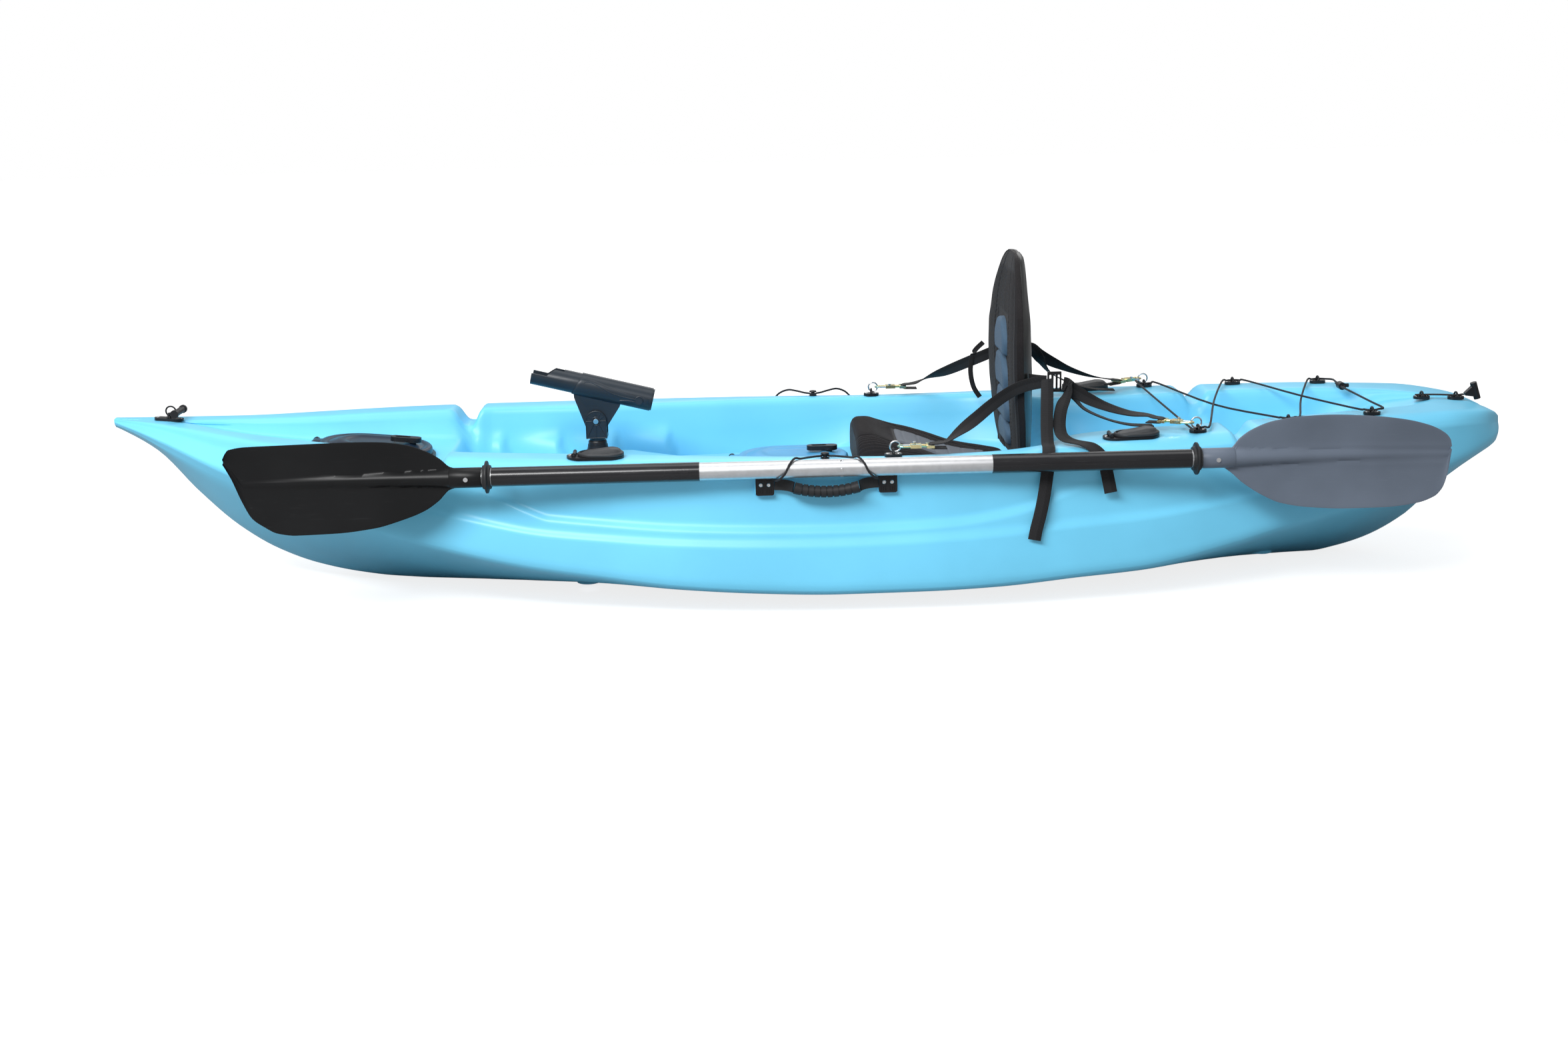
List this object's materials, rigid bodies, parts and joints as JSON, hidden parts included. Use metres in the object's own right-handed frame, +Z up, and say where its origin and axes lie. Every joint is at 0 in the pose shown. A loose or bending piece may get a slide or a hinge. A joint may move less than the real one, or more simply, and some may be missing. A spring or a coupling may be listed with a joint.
{
  "type": "fishing kayak",
  "caption": "Sit-on-top fishing kayak with hatches, swivel and flush rod holders, padded seat, side handles, tank well with bungee and a stowed two-part paddle.",
  "frame": {"origin": "on the flat of the keel, amidships, on the centre plane", "axes": "-X to the bow, +X to the stern, -Y to port, +Y to starboard, +Z up"},
  "size_m": [2.7078, 0.7955, 0.621],
  "materials": {
    "hull_blue": "satin",
    "lid_navy": "satin",
    "black_plastic": "matte",
    "black_rubber": "matte",
    "dark_tube": "satin",
    "steel": "satin",
    "zinc_yellow": "satin",
    "cord_black": "matte",
    "webbing_black": "matte",
    "seat_fabric": "matte",
    "panel_grey": "matte",
    "lobe_blue": "matte",
    "shell_black": "satin",
    "blade_black": "satin",
    "blade_grey": "satin",
    "shaft_silver": "satin",
    "shaft_black": "satin"
  },
  "bodies": {
    "kayak": {"hull_moulding": "hull_blue", "front_hatch_rim": "black_plastic", "mid_hatch_rim": "black_plastic", "hatch_gaskets": "black_rubber", "hatch_hinge_pins": "steel", "rod_base": "black_plastic", "flush_holders": "black_plastic", "deck_screws": "steel", "handle_plates": "black_plastic", "handle_screws": "steel", "pad_eyes": "black_plastic", "seat_links": "steel", "snap_hooks": "zinc_yellow", "deck_bungee": "cord_black", "cord_lock": "black_plastic", "stern_toggle_strap": "webbing_black", "port_keeper": "cord_black", "starboard_keeper": "cord_black", "keeper_buttons": "black_plastic", "seat_pad": "seat_fabric", "seat_pad_panel": "panel_grey", "front_straps": "webbing_black", "rear_straps": "webbing_black", "strap_tails": "webbing_black"},
    "drain_plug": {"drain_plug": "black_plastic"},
    "front_lid": {"front_hatch_lid": "lid_navy"},
    "front_latch": {"front_hatch_latch": "black_plastic"},
    "mid_lid": {"mid_hatch_lid": "lid_navy"},
    "mid_latch": {"mid_hatch_latch": "black_plastic"},
    "rod_swivel": {"rod_yoke": "black_plastic", "rod_pivot_bolt": "steel"},
    "rod_cradle": {"rod_tube": "dark_tube"},
    "cap_port_front": {"flush_cap_port_front": "black_rubber"},
    "cap_port_rear": {"flush_cap_port_rear": "black_rubber"},
    "cap_starboard_front": {"flush_cap_starboard_front": "black_rubber"},
    "cap_starboard_rear": {"flush_cap_starboard_rear": "black_rubber"},
    "port_handle": {"port_handle_webbing": "webbing_black", "port_handle_grip": "black_rubber"},
    "starboard_handle": {"starboard_handle_webbing": "webbing_black", "starboard_handle_grip": "black_rubber"},
    "backrest": {"back_pad": "seat_fabric", "back_shell": "shell_black", "back_panel": "lobe_blue", "back_buckles": "black_plastic"},
    "bow_toggle": {"bow_toggle": "black_plastic"},
    "stern_toggle": {"stern_toggle": "black_plastic"},
    "snap_port_front": {"snap_bolt_port_front": "steel"},
    "snap_port_rear": {"snap_bolt_port_rear": "steel"},
    "snap_starboard_front": {"snap_bolt_starboard_front": "steel"},
    "snap_starboard_rear": {"snap_bolt_starboard_rear": "steel"},
    "paddle_bow_half": {"paddle_bow_blade": "blade_black", "paddle_bow_shaft": "shaft_silver", "paddle_bow_sleeve": "shaft_black", "paddle_ferrule": "shaft_silver", "bow_drip_ring": "black_rubber"},
    "paddle_stern_half": {"paddle_stern_blade": "blade_grey", "paddle_stern_shaft": "shaft_silver", "paddle_stern_sleeve": "shaft_black", "stern_drip_ring": "black_rubber"},
    "paddle_catch": {"paddle_button": "steel"}
  },
  "joints": [
    {"name": "drain_plug_turn", "type": "hinge", "parent": "kayak", "child": "drain_plug", "pos_m": [1.35, 0, 0.243], "axis": [1, 0, 0], "continuous": true},
    {"name": "front_lid_hinge", "type": "hinge", "parent": "kayak", "child": "front_lid", "pos_m": [-0.96821, 0, 0.27088], "axis": [0, -1, 0], "range_deg": [0, 110]},
    {"name": "front_latch_turn", "type": "hinge", "parent": "front_lid", "child": "front_latch", "pos_m": [-0.77836, 0, 0.23984], "axis": [0.0995, 0, 0.995], "range_deg": [0, 90]},
    {"name": "mid_lid_hinge", "type": "hinge", "parent": "kayak", "child": "mid_lid", "pos_m": [-0.151, 0, 0.215], "axis": [0, -1, 0], "range_deg": [0, 110]},
    {"name": "mid_latch_turn", "type": "hinge", "parent": "mid_lid", "child": "mid_latch", "pos_m": [0.041, 0, 0.203], "axis": [0, 0, 1], "range_deg": [0, 90]},
    {"name": "rod_swivel_turn", "type": "hinge", "parent": "kayak", "child": "rod_swivel", "pos_m": [-0.414, 0, 0.225], "axis": [0, 0, 1], "continuous": true},
    {"name": "rod_tilt", "type": "hinge", "parent": "rod_swivel", "child": "rod_cradle", "pos_m": [-0.414, 0, 0.302], "axis": [0, 1, 0], "range_deg": [-45, 40]},
    {"name": "cap_port_front_hinge", "type": "hinge", "parent": "kayak", "child": "cap_port_front", "pos_m": [-0.43287, -0.28353, 0.29503], "axis": [0, -1, 0], "range_deg": [0, 150]},
    {"name": "cap_port_rear_hinge", "type": "hinge", "parent": "kayak", "child": "cap_port_rear", "pos_m": [0.54876, -0.25225, 0.29812], "axis": [0, -1, 0], "range_deg": [0, 150]},
    {"name": "cap_starboard_front_hinge", "type": "hinge", "parent": "kayak", "child": "cap_starboard_front", "pos_m": [-0.43287, 0.28353, 0.29503], "axis": [0, -1, 0], "range_deg": [0, 150]},
    {"name": "cap_starboard_rear_hinge", "type": "hinge", "parent": "kayak", "child": "cap_starboard_rear", "pos_m": [0.54876, 0.25225, 0.29812], "axis": [0, -1, 0], "range_deg": [0, 150]},
    {"name": "port_handle_swing", "type": "hinge", "parent": "kayak", "child": "port_handle", "pos_m": [0.021, -0.362, 0.255], "axis": [-1, 0, 0], "range_deg": [0, 18]},
    {"name": "starboard_handle_swing", "type": "hinge", "parent": "kayak", "child": "starboard_handle", "pos_m": [0.021, 0.362, 0.255], "axis": [1, 0, 0], "range_deg": [0, 70]},
    {"name": "backrest_fold", "type": "hinge", "parent": "kayak", "child": "backrest", "pos_m": [0.412, 0, 0.208], "axis": [0, 1, 0], "range_deg": [-50, 12], "deforming": ["front_straps", "rear_straps", "strap_tails"]},
    {"name": "bow_toggle_lift", "type": "hinge", "parent": "kayak", "child": "bow_toggle", "pos_m": [-1.24594, 0, 0.33594], "axis": [0, -1, 0], "range_deg": [0, 70]},
    {"name": "stern_toggle_lift", "type": "hinge", "parent": "kayak", "child": "stern_toggle", "pos_m": [1.296, 0, 0.3077], "axis": [0, -1, 0], "range_deg": [0, 60]},
    {"name": "snap_port_front_draw", "type": "slide", "parent": "kayak", "child": "snap_port_front", "axis": [1, 0, 0], "range_m": [0, 0.006], "stiffness_N_per_m": 250},
    {"name": "snap_port_rear_draw", "type": "slide", "parent": "kayak", "child": "snap_port_rear", "axis": [-0.866, 0.5, 0], "range_m": [0, 0.006], "stiffness_N_per_m": 250},
    {"name": "snap_starboard_front_draw", "type": "slide", "parent": "kayak", "child": "snap_starboard_front", "axis": [1, 0, 0], "range_m": [0, 0.006], "stiffness_N_per_m": 250},
    {"name": "snap_starboard_rear_draw", "type": "slide", "parent": "kayak", "child": "snap_starboard_rear", "axis": [-0.866, -0.5, 0], "range_m": [0, 0.006], "stiffness_N_per_m": 250},
    {"name": "paddle_lift", "type": "slide", "parent": "kayak", "child": "paddle_bow_half", "axis": [0, -1, 0], "range_m": [0, 0.06], "stiffness_N_per_m": 60, "deforming": ["port_keeper"]},
    {"name": "paddle_feather", "type": "hinge", "parent": "paddle_bow_half", "child": "paddle_stern_half", "pos_m": [0.084, -0.378, 0.276], "axis": [1, 0, 0], "range_deg": [-60, 60]},
    {"name": "paddle_button_press", "type": "slide", "parent": "paddle_bow_half", "child": "paddle_catch", "axis": [0, 1, 0], "range_m": [0, 0.003], "stiffness_N_per_m": 400}
  ]
}
